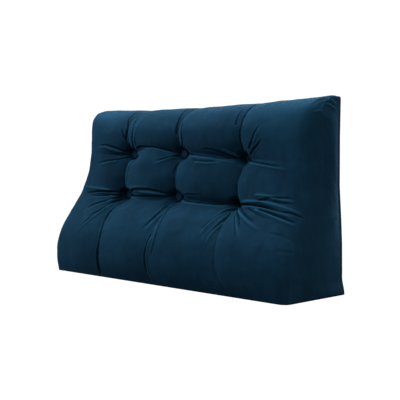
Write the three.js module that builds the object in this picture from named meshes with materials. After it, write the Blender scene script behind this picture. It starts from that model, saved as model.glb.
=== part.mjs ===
// A wedge-shaped back cushion in velvet, deep-tufted with six covered buttons.
// Millimetres, +Z up. X runs across the width, the front faces -Y and the back +Y.
// The origin is the middle of the flat base that the cushion stands on.

import * as THREE from 'three';
import { mergeVertices } from 'three/addons/utils/BufferGeometryUtils.js';

// Driving sizes
const WIDTH = 900;
const BASE_DEPTH = 230;
const NOMINAL_HEIGHT = 500;
const TUFT_SINK = 72; // how far a button sits behind the crowns around it
const TUFT_SPACING = WIDTH / 4; // three columns part the front into four equal bays
const RIGHT_DROP = 14; // the right-hand column is tufted a little lower
const BUTTON_RADIUS = 12.5;
const BUTTON_HEIGHT = 5.5;
const BUTTON_GAP = 0.3;
const SEAT_RADIUS = 15; // the cover is pressed flat this far out under a button
const SEAT_BLEND = 12; // and rises out of the pit over this much more
const BACK_BORDER = 12; // the back panel's seam lies this far in front of the back
const BACK_EDGE = 3; // rounding of the edge around the back
const CORNER_FLARE = 8; // how far the lower back corners stand out
const FLARE_HEIGHT = 45;
const LEVEL_CORNER = 90; // below this height a corner turns in level, to meet the base
const SIDE_BELLY = 13; // how far a side panel swells past its seams
const BELLY_DEPTH = 120; // a side panel at least this deep swells in full
const END_DOME = 2.2; // power of the curve by which the cushion thins to its ends
const CREASE_AT_TUFT = 0.004; // softness of a crease, in half bays, beside a button
const CREASE_BETWEEN = 0.05; // and midway between two buttons

const HALF = WIDTH / 2;
const BACK_Y = BASE_DEPTH / 2;

// The front panel in side view, from its bottom seam up and over to the top seam at the back.
// Depths are in front of the back. pull is the way a tuft drags the cover, in degrees below level.
// corner is the radius at which the front turns into the side panel.
const PROFILE = [
  { height: 0, endHeight: 0, depth: 232, endDepth: 232, pull: 0, corner: 20 },
  { height: 40, endHeight: 40, depth: 258, endDepth: 242, pull: 0, corner: 30 },
  { height: 85, endHeight: 85, depth: 271, endDepth: 244, pull: 0, corner: 40 },
  { height: 130, endHeight: 130, depth: 267, endDepth: 232, pull: 0, corner: 46 },
  { height: 175, endHeight: 175, depth: 246, endDepth: 205, pull: 0, corner: 50 },
  { height: 218, endHeight: 218, depth: 217, endDepth: 175, pull: 0, corner: 50 },
  { height: 260, endHeight: 261, depth: 197, endDepth: 147, pull: 0, corner: 50 },
  { height: 305, endHeight: 306, depth: 187, endDepth: 130, pull: 0, corner: 54 },
  { height: 350, endHeight: 351, depth: 180, endDepth: 123, pull: 0, corner: 56 },
  { height: 395, endHeight: 396, depth: 172, endDepth: 119, pull: 8, corner: 54 },
  { height: 433, endHeight: 437, depth: 156, endDepth: 115, pull: 28, corner: 44 },
  { height: 466, endHeight: 472, depth: 126, endDepth: 102, pull: 55, corner: 30 },
  { height: 487, endHeight: 494, depth: 82, endDepth: 71, pull: 76, corner: 17 },
  { height: 493, endHeight: 503, depth: 38, endDepth: 34, pull: 88, corner: 8 },
  { height: 490, endHeight: 502, depth: 12, endDepth: 12, pull: 90, corner: 5 },
];

// The two rows of buttons. height is on the front, back how far a button's seat lies in front of
// the back, before its column's own pull. up and down are the widths of the valley along the row, and the last two the depth of
// that valley midway between two tufts and out at the ends, as shares of the tuft's sink.
const ROWS = [
  { name: 'lower', height: 238, back: 120, up: 62, down: 100, betweenTufts: 0.62, atEnds: 0.04 },
  { name: 'upper', height: 357, back: 98, up: 84, down: 62, betweenTufts: 0.5, atEnds: 0.02 },
];

// channel scales the valley that runs down from the lower button, and slack is how much further
// forward the column's twine lets its two buttons stand.
const COLUMNS = [
  { name: 'left', x: -TUFT_SPACING, channel: 1.25, slack: 3 },
  { name: 'middle', x: 0, channel: 1, slack: 15 },
  { name: 'right', x: TUFT_SPACING, channel: 0.65, slack: -5 },
];
const AT_TUFT = 0.9; // depth of a row's valley at a button

// How deep the upright valley through each column of buttons is, as a share of the tuft's sink,
// at a distance above (or below, if negative) the row named.
const VALLEY = [
  { row: 'seam', from: 0, share: 0 },
  { row: 'seam', from: 45, share: 0.07 },
  { row: 'lower', from: -150, share: 0.15 },
  { row: 'lower', from: -95, share: 0.27 },
  { row: 'lower', from: -45, share: 0.5 },
  { row: 'lower', from: 0, share: 0.82 },
  { row: 'lower', from: 60, share: 0.62 },
  { row: 'upper', from: 0, share: 0.82 },
  { row: 'upper', from: 45, share: 0.48 },
  { row: 'upper', from: 90, share: 0.27 },
  { row: 'upper', from: 140, share: 0.15 },
  { row: 'upper', from: 190, share: 0.07 },
  { row: 'upper', from: 240, share: 0.02 },
];

// How far each channel strays to the right of its buttons, at a length up the front from the seam
const STRAY = [
  { length: 0, left: -8, middle: -8, right: 56 },
  { length: 60, left: 1, middle: -6, right: 34 },
  { length: 105, left: 11, middle: -3, right: 24 },
  { length: 145, left: 12, middle: 6, right: 19 },
  { length: 200, left: 3, middle: 4, right: 8 },
  { length: 250, left: 0, middle: 0, right: 0 },
];

// How far the end panels stand outside the nominal width (inside it, if negative)
const ENDS = [
  { height: 0, out: 4 },
  { height: 60, out: 4.5 },
  { height: 130, out: 3.5 },
  { height: 190, out: 0.5 },
  { height: 275, out: -5 },
  { height: 400, out: -5.5 },
  { height: 500, out: -4 },
];

// Mesh steps away from a button line: close together where the cover turns sharply.
const COLUMN_STEPS = [0, 4.5, 9, 13.5, 18.5, 26, 37, 52, 70, 90, 112.5];
const ROW_STEPS = [0, 4.5, 9, 13.5, 18.5, 27, 40, 56, 74, 96, 120, 144, 168, 192, 214, 234, 252];
const CORNER_STEPS = 6;
const SIDE_STEPS = 7;

const { clamp, lerp, smoothstep, degToRad } = THREE.MathUtils;
const ease = (t) => smoothstep(t, 0, 1);

// A smooth curve through one named column of the profile, at row position t.
function profileAt(column, t) {
  const last = PROFILE.length - 1;
  const i = Math.min(Math.floor(t), last - 1);
  const f = t - i;
  const value = (k) => PROFILE[clamp(k, 0, last)][column];
  const [a, b, c, d] = [value(i - 1), value(i), value(i + 1), value(i + 2)];
  return b + 0.5 * f * (c - a + f * (2 * a - 5 * b + 4 * c - d + f * (3 * (b - c) + d - a)));
}

// Length up the front from its bottom seam, against row position.
const LENGTH_SAMPLES = 280;
const lengths = [0];
for (let i = 1; i <= LENGTH_SAMPLES; i++) {
  const [t0, t1] = [i - 1, i].map((k) => (k / LENGTH_SAMPLES) * (PROFILE.length - 1));
  const dz = profileAt('height', t1) - profileAt('height', t0);
  const dy = profileAt('depth', t1) - profileAt('depth', t0);
  lengths.push(lengths[i - 1] + Math.hypot(dy, dz));
}
const PANEL_LENGTH = lengths[LENGTH_SAMPLES];

function rowPosition(length) {
  let i = lengths.findIndex((l) => l >= length);
  i = clamp(i < 0 ? LENGTH_SAMPLES : i, 1, LENGTH_SAMPLES);
  const f = (length - lengths[i - 1]) / (lengths[i] - lengths[i - 1]);
  return ((i - 1 + clamp(f, 0, 1)) / LENGTH_SAMPLES) * (PROFILE.length - 1);
}

function lengthAtHeight(height) {
  const i = lengths.findIndex((_, k) => {
    return profileAt('height', (k / LENGTH_SAMPLES) * (PROFILE.length - 1)) >= height;
  });
  return lengths[i];
}

for (const row of ROWS) row.length = lengthAtHeight(row.height);
const [LOWER, UPPER] = ROWS;
const rowLengths = { seam: 0, lower: LOWER.length, upper: UPPER.length };
const valleyPoints = VALLEY.map(({ row, from, share }) => ({ length: rowLengths[row] + from, share }));

// The value of one named column of a table where another is at a place, straight between the rows
function between(table, key, at, column) {
  const i = table.findIndex((row) => row[key] >= at);
  if (i === 0) return table[0][column];
  if (i < 0) return table[table.length - 1][column];
  const [a, b] = [table[i - 1], table[i]];
  return lerp(a[column], b[column], (at - a[key]) / (b[key] - a[key]));
}

// Half the section of a stuffed bay: 1 in the crease, 0 at the crown, and round between them.
function bayShare(distance, halfWidth, softness) {
  const t = Math.min(1, Math.hypot(distance / halfWidth, softness));
  return 1 - Math.sqrt(1 - (1 - t) ** 2);
}

function nearestColumn(x) {
  return COLUMNS.reduce((best, c) => (Math.abs(x - c.x) < Math.abs(x - best.x) ? c : best));
}

// How far the cover lies below the crowns of the bays at a place on the front.
function tuftSink(x, length) {
  const column = nearestColumn(x);
  const across = Math.abs(x - column.x);
  const past = Math.max(0, Math.abs(x) - TUFT_SPACING) / (HALF - TUFT_SPACING);
  const midway = Math.min(1, across / (TUFT_SPACING / 2));
  const risen = past > 0 ? 1 - (1 - past) ** 3 : Math.sin((midway * Math.PI) / 2) ** 0.8;
  const softness = lerp(CREASE_AT_TUFT, CREASE_BETWEEN, risen);

  const channel = lerp(column.channel, 1, ease(length / LOWER.length));
  const valley = channel * between(valleyPoints, 'length', length, 'share');
  let sunk = valley * bayShare(across, TUFT_SPACING / 2, CREASE_AT_TUFT);
  for (const row of ROWS) {
    const away = length - row.length;
    const floor = lerp(AT_TUFT, past > 0 ? row.atEnds : row.betweenTufts, risen);
    const level = floor * bayShare(away, away > 0 ? row.up : row.down, softness);
    sunk += level - level * sunk;
  }
  return TUFT_SINK * sunk;
}

// How far a place moves down the front so that the right-hand tufts sit lower
function slip(x, length) {
  const belowTufts = ease(length / LOWER.length);
  const aboveTufts = ease((PANEL_LENGTH - length) / (PANEL_LENGTH - UPPER.length));
  return RIGHT_DROP * ease(x / TUFT_SPACING) * Math.min(belowTufts, aboveTufts);
}

// The front before tufting: a point of the section at x, and the way into the cushion there
function crown(x, length) {
  const STEP = 0.02;
  const t = rowPosition(length - slip(x, length));
  const dome = 1 - Math.abs(x / HALF) ** END_DOME;
  const section = (at) => ({
    y: BACK_Y - lerp(profileAt('endDepth', at), profileAt('depth', at), dome),
    z: lerp(profileAt('endHeight', at), profileAt('height', at), dome),
  });
  const here = section(t);
  const below = section(Math.max(0, t - STEP));
  const above = section(Math.min(PROFILE.length - 1, t + STEP));
  const run = Math.hypot(above.y - below.y, above.z - below.z);
  const level = ease(here.z / LEVEL_CORNER);
  return {
    ...here,
    inY: (above.z - below.z) / run,
    inZ: (-level * (above.y - below.y)) / run,
    pull: degToRad(profileAt('pull', t)),
    corner: profileAt('corner', t),
  };
}

// Where the buttons sit
const seats = ROWS.flatMap((row) => COLUMNS.map((column) => ({
  name: `${row.name}_${column.name}`,
  x: column.x,
  y: BACK_Y - row.back - column.slack,
  z: crown(column.x, row.length).z,
})));

// How far a channel and the cloth beside it stray to the right, none of it at the crowns of the bays
function stray(x, length) {
  const column = nearestColumn(x);
  const share = Math.min(1, Math.abs(x - column.x) / (TUFT_SPACING / 2));
  return between(STRAY, 'length', length, column.name) * (1 - share ** 2) ** 2;
}

// A point of the front panel. turn runs from 0 on the front to 1 at the side panel's seam.
function frontPoint(x, length, turn = 0) {
  const across = x + stray(x, length);
  const at = crown(across, length);
  const sink = tuftSink(x, length);
  const angle = (turn * Math.PI) / 2;
  const fallBack = at.corner * (1 - Math.cos(angle));
  const point = new THREE.Vector3(
    turn > 0 ? Math.sign(x) * (HALF - at.corner + at.corner * Math.sin(angle)) : across,
    at.y + sink * Math.cos(at.pull) + fallBack * at.inY,
    at.z - sink * Math.sin(at.pull) + fallBack * at.inZ,
  );
  return drawIn(pressSeat(point));
}

// Under a button the cover is pressed flat.
function pressSeat(point) {
  for (const seat of seats) {
    const away = Math.hypot(point.x - seat.x, point.z - seat.z);
    const flat = 1 - ease((away - SEAT_RADIUS) / SEAT_BLEND);
    point.y = lerp(point.y, seat.y, flat);
  }
  return point;
}

// The ends are drawn in above and stand out below, the lower back corners most.
function drawIn(point) {
  const far = Math.abs(point.x) / HALF;
  const towardsBack = ease((point.y + BACK_Y) / BASE_DEPTH);
  const low = 1 - ease(point.z / FLARE_HEIGHT);
  const out = between(ENDS, 'height', point.z, 'out') + CORNER_FLARE * low * towardsBack;
  point.x += Math.sign(point.x) * out * far ** 4;
  return point;
}

// Stations across the width and up the front
function columnStations() {
  const inner = new Set();
  for (const column of COLUMNS) {
    for (const step of COLUMN_STEPS) {
      inner.add(column.x - step);
      inner.add(column.x + step);
    }
  }
  const edge = [];
  const FLAT_STEPS = 2; // from the end bay's crown to where the corner begins
  for (let i = 1; i <= FLAT_STEPS; i++) edge.push({ along: i / FLAT_STEPS, turn: 0 });
  for (let i = 1; i <= CORNER_STEPS; i++) edge.push({ along: 1, turn: i / CORNER_STEPS });
  const right = edge.map((e) => ({ ...e, side: 1 }));
  const left = edge.map((e) => ({ ...e, side: -1 })).reverse();
  const middle = [...inner].sort((a, b) => a - b).map((x) => ({ x }));
  return [...left, ...middle, ...right];
}

function rowStations() {
  const middle = (LOWER.length + UPPER.length) / 2;
  const CLEAR = 4; // no row this close to the middle one
  const found = new Set([0, middle, PANEL_LENGTH]);
  for (const step of ROW_STEPS) {
    found.add(Math.max(0, LOWER.length - step));
    found.add(Math.min(PANEL_LENGTH, UPPER.length + step));
    if (LOWER.length + step < middle - CLEAR) {
      found.add(LOWER.length + step);
      found.add(UPPER.length - step);
    }
  }
  return [...found].sort((a, b) => a - b);
}

function stationPoint(station, length) {
  if (!station.side) return frontPoint(station.x, length);
  const endCrown = 1.5 * TUFT_SPACING;
  const { corner } = crown(station.side * HALF, length);
  const x = lerp(endCrown, HALF - corner, station.along);
  return frontPoint(station.side * x, length, station.turn);
}

// Collects triangles, wound so that they face out.
class Skin {
  constructor() {
    this.values = [];
  }

  triangle(a, b, c) {
    for (const p of [a, b, c]) this.values.push(p.x, p.y, p.z);
  }

  // grid[i][j]; i x j points out of the body
  patch(grid) {
    for (let i = 0; i + 1 < grid.length; i++) {
      for (let j = 0; j + 1 < grid[i].length; j++) {
        const [a, b, c, d] = [grid[i][j], grid[i + 1][j], grid[i + 1][j + 1], grid[i][j + 1]];
        this.triangle(a, b, c);
        this.triangle(a, c, d);
      }
    }
  }

  // A flat face between a centre and a loop that runs anticlockwise seen from outside
  fan(centre, loop) {
    loop.forEach((p, i) => this.triangle(centre, p, loop[(i + 1) % loop.length]));
  }

  geometry() {
    const MERGE = 1e-3;
    const loose = new THREE.BufferGeometry();
    loose.setAttribute('position', new THREE.Float32BufferAttribute(this.values, 3));
    const merged = mergeVertices(loose, MERGE);
    const index = [...merged.index.array];
    const kept = [];
    for (let i = 0; i < index.length; i += 3) {
      const [a, b, c] = index.slice(i, i + 3);
      if (a !== b && b !== c && c !== a) kept.push(a, b, c);
    }
    merged.setIndex(kept);
    merged.computeVertexNormals();
    return merged;
  }
}

const lengthsUp = rowStations();

// A side panel from the front's end seam to the back's seam, one row for each row of the front
function sidePanel(frontEdge, side) {
  const top = frontEdge[frontEdge.length - 1];
  return frontEdge.map((from, k) => {
    const up = lengthsUp[k] / PANEL_LENGTH;
    const seam = drawIn(new THREE.Vector3(side * HALF, BACK_Y - BACK_BORDER, up * top.z));
    const to = from === top ? top.clone() : seam;
    const belly = SIDE_BELLY * Math.sqrt(Math.abs(Math.sin(Math.PI * up)));
    const row = [];
    for (let j = 0; j <= SIDE_STEPS; j++) {
      const f = j / SIDE_STEPS;
      const point = from.clone().lerp(to, f);
      const swell = 4 * f * (1 - f);
      point.x += side * belly * swell * Math.min(1, (to.y - from.y) / BELLY_DEPTH);
      row.push(point);
    }
    return row;
  });
}

function cushionGeometry() {
  const stations = columnStations();
  const front = stations.map((s) => lengthsUp.map((length) => stationPoint(s, length)));
  const skin = new Skin();
  skin.patch(front);

  const right = sidePanel(front[front.length - 1], 1);
  const left = sidePanel(front[0], -1);
  skin.patch(right[0].map((_, j) => right.map((row) => row[j])));
  skin.patch(left[0].map((_, j) => left.map((row) => row[j])).reverse());

  // The back panel: its seam, its edge and its flat face, along the bottom, up the right side,
  // back along the top and down the left side
  const bottomEdge = front.map((column) => {
    return new THREE.Vector3(column[0].x, BACK_Y - BACK_BORDER, 0);
  });
  bottomEdge[0].copy(left[0][SIDE_STEPS]);
  bottomEdge[bottomEdge.length - 1].copy(right[0][SIDE_STEPS]);
  const topEdge = front.map((column) => column[column.length - 1]);
  const seam = [
    ...bottomEdge,
    ...right.slice(1, -1).map((row) => row[SIDE_STEPS]),
    ...[...topEdge].reverse(),
    ...left.slice(1, -1).reverse().map((row) => row[SIDE_STEPS]),
  ];
  const centre = new THREE.Vector3(0, BACK_Y, NOMINAL_HEIGHT / 2);
  const edge = seam.map((p) => new THREE.Vector3(p.x, BACK_Y - BACK_EDGE, p.z));
  const panel = seam.map((p) => {
    const inward = new THREE.Vector3(p.x / HALF, 0, (p.z - centre.z) / centre.z);
    return new THREE.Vector3(p.x, BACK_Y, p.z).addScaledVector(inward, -BACK_EDGE);
  });
  skin.patch([seam, edge, panel].map((loop) => [...loop, loop[0]]));
  skin.fan(centre, [...panel].reverse());

  // The flat base
  const base = [
    ...front.map((column) => column[0]),
    ...right[0].slice(1, -1),
    ...[...bottomEdge].reverse(),
    ...left[0].slice(1, -1).reverse(),
  ];
  skin.fan(new THREE.Vector3(0, 0, 0), base.reverse());
  return skin.geometry();
}

// A covered button: a flat back, a rolled rim and a domed face that looks along -Y
function buttonGeometry() {
  const RIM = 2.2;
  const ROUND_STEPS = 4;
  const RIM_TURN = 0.3 * Math.PI; // the rim rolls this far above and below level
  const flatRadius = BUTTON_RADIUS - 0.6 * RIM;
  const profile = [new THREE.Vector2(0, 0), new THREE.Vector2(flatRadius, 0)];
  for (let i = 0; i <= ROUND_STEPS; i++) {
    const angle = lerp(-RIM_TURN, RIM_TURN, i / ROUND_STEPS);
    const r = BUTTON_RADIUS - RIM + RIM * Math.cos(angle);
    profile.push(new THREE.Vector2(r, RIM + RIM * Math.sin(angle)));
  }
  const rimTop = profile[profile.length - 1];
  for (let i = 1; i <= ROUND_STEPS; i++) {
    const f = i / ROUND_STEPS;
    const r = rimTop.x * (1 - f);
    profile.push(new THREE.Vector2(r, lerp(rimTop.y, BUTTON_HEIGHT, 1 - (1 - f) ** 2)));
  }
  const SEGMENTS = 20;
  return new THREE.LatheGeometry(profile, SEGMENTS).rotateX(Math.PI);
}

function velvet(name, color) {
  return new THREE.MeshStandardMaterial({ name, color, roughness: 0.92, metalness: 0 });
}

const model = new THREE.Group();

const cushion = new THREE.Mesh(cushionGeometry(), velvet('cover velvet', 0x17384f));
cushion.name = 'cushion';
model.add(cushion);

for (const seat of seats) {
  const button = new THREE.Mesh(buttonGeometry(), velvet('button velvet', 0x16334a));
  button.name = `button_${seat.name}`;
  button.position.set(seat.x, seat.y - BUTTON_GAP, seat.z);
  model.add(button);
}

export default model;
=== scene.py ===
"""A back cushion: a wedge of filled velvet, drawn in by six covered buttons.

The frame is in metres. The sizes below are in millimetres, and turn to metres where a mesh is made.
X runs across the width, the front faces -Y, +Z is up, and the origin is the middle of the flat base.
"""

import math

import bmesh
import bpy
import numpy as np
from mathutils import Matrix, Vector, noise


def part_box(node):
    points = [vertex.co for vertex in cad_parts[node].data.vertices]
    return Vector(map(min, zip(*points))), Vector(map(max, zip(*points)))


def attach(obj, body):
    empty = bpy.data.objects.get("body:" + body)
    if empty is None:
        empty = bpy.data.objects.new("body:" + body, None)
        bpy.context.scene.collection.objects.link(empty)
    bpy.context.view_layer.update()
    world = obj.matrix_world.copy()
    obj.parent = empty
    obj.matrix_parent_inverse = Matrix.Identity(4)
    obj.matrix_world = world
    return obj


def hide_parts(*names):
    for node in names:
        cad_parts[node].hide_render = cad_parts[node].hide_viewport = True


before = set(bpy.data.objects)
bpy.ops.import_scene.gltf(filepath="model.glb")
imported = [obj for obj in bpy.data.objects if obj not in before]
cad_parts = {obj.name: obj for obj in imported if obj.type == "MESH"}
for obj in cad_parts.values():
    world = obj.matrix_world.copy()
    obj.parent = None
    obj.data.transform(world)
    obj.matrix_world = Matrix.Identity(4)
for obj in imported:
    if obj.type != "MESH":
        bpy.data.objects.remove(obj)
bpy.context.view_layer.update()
MM = 0.001

# The filled cover
# Five panels of velvet are sewn round a wedge of loose filling: a front that swells out towards the
# foot and turns over the top, two end panels, a flat base and a back. Twine pulls six tufts deep
# into the filling, so the front parts into pillows with valleys and folds between them.

BUTTON_NODES = [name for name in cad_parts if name.startswith("button_")]
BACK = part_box("cushion")[1].y / MM

# Half the width between the end seams, the distance between tufts, how deep a tuft is pulled in, and
# how much lower the right-hand tufts are sewn
HALF = 450
TUFT_SPACING = 225
TUFT_SINK = 72
RIGHT_DROP = 14

# The front panel in side view, from the base seam up and over to the seam at the back: heights and
# depths at the middle and at the ends, the way a tuft pulls (degrees below level), and the radius at
# which the front turns into the end panels.
PROFILE = [
    dict(height=0, end_height=0, depth=232, end_depth=232, pull=0, corner=20),
    dict(height=40, end_height=40, depth=258, end_depth=242, pull=0, corner=30),
    dict(height=85, end_height=85, depth=271, end_depth=244, pull=0, corner=40),
    dict(height=130, end_height=130, depth=267, end_depth=232, pull=0, corner=46),
    dict(height=175, end_height=175, depth=246, end_depth=205, pull=0, corner=50),
    dict(height=218, end_height=218, depth=217, end_depth=175, pull=0, corner=50),
    dict(height=260, end_height=261, depth=197, end_depth=147, pull=0, corner=50),
    dict(height=305, end_height=306, depth=187, end_depth=130, pull=0, corner=54),
    dict(height=350, end_height=351, depth=180, end_depth=123, pull=0, corner=56),
    dict(height=395, end_height=396, depth=172, end_depth=119, pull=8, corner=54),
    dict(height=433, end_height=437, depth=156, end_depth=115, pull=28, corner=44),
    dict(height=466, end_height=472, depth=126, end_depth=102, pull=55, corner=30),
    dict(height=487, end_height=494, depth=82, end_depth=71, pull=76, corner=17),
    dict(height=493, end_height=503, depth=38, end_depth=34, pull=88, corner=8),
    dict(height=490, end_height=502, depth=12, end_depth=12, pull=90, corner=5),
]

# The rows of tufts: their height, how far their valley reaches up and down, its depth between tufts and
# at the ends as a share of the tuft's sink, and how far its crease bows up in each of the four bays
ROWS = {
    "lower": dict(height=238, up=62, down=100, between=0.62, at_ends=0.04, bows=(2, -6, 2, -4)),
    "upper": dict(height=357, up=84, down=62, between=0.50, at_ends=0.02, bows=(8, 22, 8, -8)),
}
COLUMNS = {"left": -TUFT_SPACING, "middle": 0, "right": TUFT_SPACING}

# How deep the channels run down from the columns, left to right, against the depths in VALLEY
CHANNELS = [1.25, 1.0, 0.65]

# The depth of a row's valley beside a tuft, how soft its crease is there and between tufts, and how
# quickly its floor rises from the tuft to the middle of a bay and to the end
AT_TUFT = 0.9
CREASE_AT_TUFT = 0.012
CREASE_BETWEEN = 0.03
BAY_RISE = 0.8
END_RISE = 3

# Depth of the upright valleys, as a share of the tuft's sink, at a distance from a row of buttons
VALLEY = [
    dict(row="seam", away=0, share=0),
    dict(row="seam", away=45, share=0.07),
    dict(row="lower", away=-150, share=0.15),
    dict(row="lower", away=-95, share=0.27),
    dict(row="lower", away=-45, share=0.5),
    dict(row="lower", away=0, share=0.82),
    dict(row="lower", away=60, share=0.62),
    dict(row="upper", away=0, share=0.82),
    dict(row="upper", away=45, share=0.48),
    dict(row="upper", away=90, share=0.27),
    dict(row="upper", away=140, share=0.15),
    dict(row="upper", away=190, share=0.07),
    dict(row="upper", away=240, share=0.02),
]

# How far each channel strays to the right of its buttons, at a length up the front from the seam
STRAY = [
    dict(length=0, left=-8, middle=-8, right=56),
    dict(length=60, left=1, middle=-6, right=34),
    dict(length=105, left=11, middle=-3, right=24),
    dict(length=145, left=12, middle=6, right=19),
    dict(length=200, left=3, middle=4, right=8),
    dict(length=250, left=0, middle=0, right=0),
]

# How far the end panels stand outside the nominal width at a height, how much more the lower back
# corners do and up to what height, and how quickly this fades from the ends inwards
ENDS = [
    dict(height=0, out=4),
    dict(height=60, out=4.5),
    dict(height=130, out=3.5),
    dict(height=190, out=0.5),
    dict(height=275, out=-5),
    dict(height=400, out=-5.5),
    dict(height=500, out=-4),
]
CORNER_FLARE, FLARE_HEIGHT = 8, 45
DRAW_IN_POWER = 4

# How flat the front's crown is across, and the height below which its turned edge falls back level
CROWN_POWER = 2.2
LEVEL_BELOW = 90

# How finely the profile is measured, and the step, in rows of it, over which its direction is taken
PROFILE_SAMPLES = 1401
PROFILE_STEP = 0.02


def values(table, name):
    """One column of a table."""
    return np.array([row[name] for row in table], float)


def ease(t):
    """Rises smoothly from 0 to 1 as t does."""
    t = np.clip(t, 0, 1)
    return t * t * (3 - 2 * t)


def smooth_curve(points, t):
    """A smooth curve through points that lie one apart, at t."""
    last = len(points) - 1
    t = np.clip(t, 0, last)
    i = np.minimum(t.astype(int), last - 1)
    f = t - i
    a, b, c, d = (points[np.clip(i + k, 0, last)] for k in (-1, 0, 1, 2))
    return b + 0.5 * f * (c - a + f * (2 * a - 5 * b + 4 * c - d + f * (3 * (b - c) + d - a)))


# Length up the front panel, against the row of the profile
profile_row = np.linspace(0, len(PROFILE) - 1, PROFILE_SAMPLES)
profile_height = smooth_curve(values(PROFILE, "height"), profile_row)
profile_depth = smooth_curve(values(PROFILE, "depth"), profile_row)
profile_length = np.r_[0, np.cumsum(np.hypot(np.diff(profile_height), np.diff(profile_depth)))]
PANEL = profile_length[-1]
rising = slice(0, int(np.argmax(profile_height)))
for row in ROWS.values():
    row["length"] = float(np.interp(row["height"], profile_height[rising], profile_length[rising]))
LOWER, UPPER = ROWS["lower"]["length"], ROWS["upper"]["length"]
valley_start = {"seam": 0, "lower": LOWER, "upper": UPPER}
valley_length = np.array([valley_start[v["row"]] + v["away"] for v in VALLEY])


def bay_share(distance, half_width, softness):
    """Half the section of a stuffed bay: 1 in the crease, 0 at the crown, round between them."""
    t = np.minimum(1, np.hypot(distance / half_width, softness))
    return 1 - np.sqrt(1 - (1 - t) ** 2)


def crease_bow(x, bows):
    """How far the crease along a row rises above the buttons: at the middle of a bay, or at the ends."""
    found = np.where(x < 0, bows[0], bows[3]) * ease((np.abs(x) - TUFT_SPACING) / (HALF - TUFT_SPACING))
    for side, bow in ((-1, bows[1]), (1, bows[2])):
        u = np.clip(side * x / TUFT_SPACING, 0, 1)
        found = found + bow * 4 * u * (1 - u)
    return found


def tuft_sink(x, length):
    """How far the cover lies below the crowns of the bays."""
    nearest = np.clip(np.round(x / TUFT_SPACING), -1, 1)
    across = np.abs(x - nearest * TUFT_SPACING)
    past = np.clip((np.abs(x) - TUFT_SPACING) / (HALF - TUFT_SPACING), 0, 1)
    midway = np.minimum(1, across / (TUFT_SPACING / 2))
    risen_in_bay = np.sin(midway * math.pi / 2) ** BAY_RISE
    risen = np.where(past > 0, 1 - (1 - past) ** END_RISE, risen_in_bay)
    softness = CREASE_AT_TUFT + (CREASE_BETWEEN - CREASE_AT_TUFT) * risen

    channel = np.array(CHANNELS)[nearest.astype(int) + 1]
    channel = channel + (1 - channel) * ease(length / LOWER)
    share = channel * np.interp(length, valley_length, values(VALLEY, "share"))
    sunk = share * bay_share(across, TUFT_SPACING / 2, CREASE_AT_TUFT)
    for row in ROWS.values():
        away = length - row["length"] - crease_bow(x, row["bows"])
        floor = AT_TUFT + (np.where(past > 0, row["at_ends"], row["between"]) - AT_TUFT) * risen
        width = np.where(away > 0, row["up"], row["down"])
        level = floor * bay_share(away, width, softness)
        sunk = sunk + level - level * sunk
    return TUFT_SINK * sunk


def stray(x, length):
    """How far a channel and the cloth beside it stray to the right, none of it at the crowns."""
    found = np.zeros(np.broadcast(x, length).shape)
    for name, middle_x in COLUMNS.items():
        share = np.minimum(1, np.abs(x - middle_x) / (TUFT_SPACING / 2))
        strayed = np.interp(length, values(STRAY, "length"), values(STRAY, name))
        found = found + strayed * (1 - share**2) ** 2
    return found


def crown(x, length):
    """The untufted front at x: its y and z, the way into the cushion, and the pull and corner there."""
    below_tufts = ease(length / LOWER)
    above_tufts = ease((PANEL - length) / (PANEL - UPPER))
    slip = RIGHT_DROP * ease(x / TUFT_SPACING) * np.minimum(below_tufts, above_tufts)
    at = np.interp(length - slip, profile_length, profile_row)
    dome = 1 - np.abs(x / HALF) ** CROWN_POWER

    def section(t):
        t = np.clip(t, 0, len(PROFILE) - 1)
        depth, end_depth, height, end_height = (
            smooth_curve(values(PROFILE, name), t)
            for name in ("depth", "end_depth", "height", "end_height")
        )
        return BACK - (end_depth + (depth - end_depth) * dome), end_height + (height - end_height) * dome

    y, z = section(at)
    y0, z0 = section(at - PROFILE_STEP)
    y1, z1 = section(at + PROFILE_STEP)
    run = np.hypot(y1 - y0, z1 - z0)
    level = ease(z / LEVEL_BELOW)
    pull = np.radians(smooth_curve(values(PROFILE, "pull"), at))
    corner = smooth_curve(values(PROFILE, "corner"), at)
    return y, z, (z1 - z0) / run, -level * (y1 - y0) / run, pull, corner


def draw_in(x, y, z):
    """The ends are drawn in above and stand out below, the lower back corners most."""
    towards_back = ease((y + BACK) / (2 * BACK))
    flare = CORNER_FLARE * (1 - ease(z / FLARE_HEIGHT)) * towards_back
    out = np.interp(z, values(ENDS, "height"), values(ENDS, "out")) + flare
    return x + np.sign(x) * out * (np.abs(x) / HALF) ** DRAW_IN_POWER


def graded(reach, steps, first=0.5):
    """Distances from 0 out to reach, close together at 0. first is the first step against an even one."""
    t = np.linspace(0, 1, steps + 1)
    return reach * t * (first + (1 - first) * t)


# The grid of the front: columns from end to end and rows from the base seam to the top seam
BAY_STEPS, FLAT_STEPS, CORNER_STEPS, END_STEPS = 40, 15, 18, 32
BELOW_STEPS, MIDDLE_STEPS, ABOVE_STEPS = 84, 26, 96
END_CROWN = 1.5 * TUFT_SPACING
half_bay = graded(TUFT_SPACING / 2, BAY_STEPS)
bays = np.unique(np.concatenate([c + side * half_bay for c in COLUMNS.values() for side in (-1, 1)]))
below = LOWER - graded(LOWER, BELOW_STEPS)
middle = graded((UPPER - LOWER) / 2, MIDDLE_STEPS, first=0.8)
above = UPPER + graded(PANEL - UPPER, ABOVE_STEPS, first=0.7)
lengths = np.unique(np.round(np.concatenate([below, LOWER + middle, UPPER - middle, above]), 6))

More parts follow.
